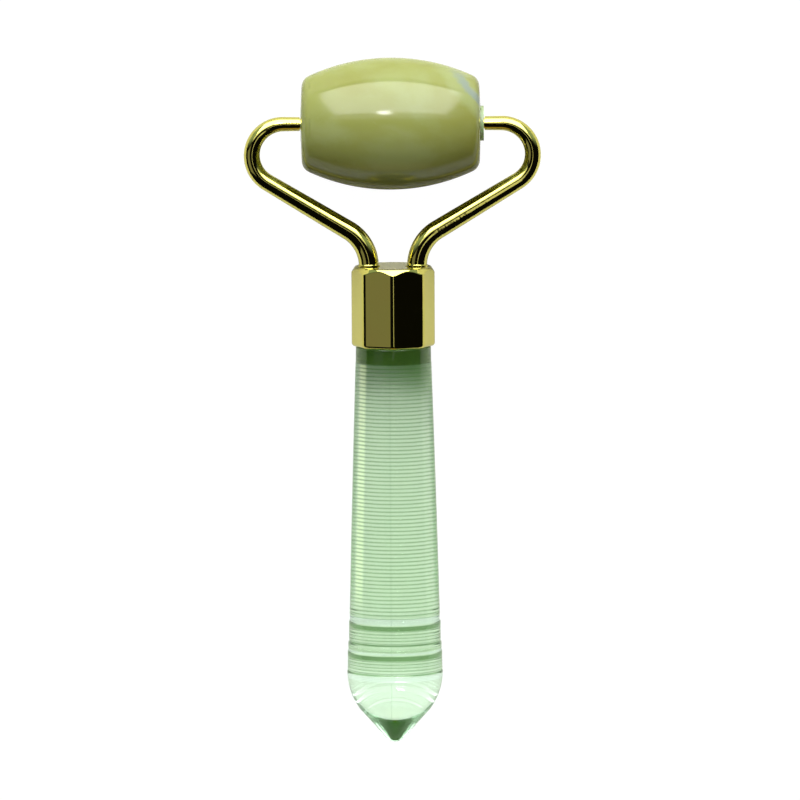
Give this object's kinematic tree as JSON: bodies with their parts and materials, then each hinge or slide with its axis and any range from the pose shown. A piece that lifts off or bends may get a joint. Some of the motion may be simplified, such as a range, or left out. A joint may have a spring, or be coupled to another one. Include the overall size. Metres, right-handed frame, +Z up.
{
  "type": "face roller",
  "caption": "Face massage roller: a crowned stone barrel turning on the axle pins of a gold fork, with an octagonal ferrule and a clear green ribbed handle.",
  "frame": {"origin": "on the table, at the bottom centre of the roller's bounding box as it lies at rest", "axes": "+X along the axle, +Y from the grip's tip towards the barrel, +Z up from the table"},
  "size_m": [0.0652, 0.1514, 0.029],
  "materials": {
    "jade": "polished",
    "bush_plastic": "glossy",
    "gold_plate": "mirror polished plating",
    "clear_green": "clear, finely ribbed"
  },
  "bodies": {
    "frame": {"fork_arm_left": "gold_plate", "fork_arm_right": "gold_plate", "ferrule": "gold_plate", "grip": "clear_green"},
    "roller": {"roller_stone": "jade", "end_bush_left": "bush_plastic", "end_bush_right": "bush_plastic"}
  },
  "joints": [
    {"name": "roller_spin", "type": "hinge", "parent": "frame", "child": "roller", "pos_m": [0, 0.06124, 0.0145], "axis": [1, 0, 0], "continuous": true}
  ]
}
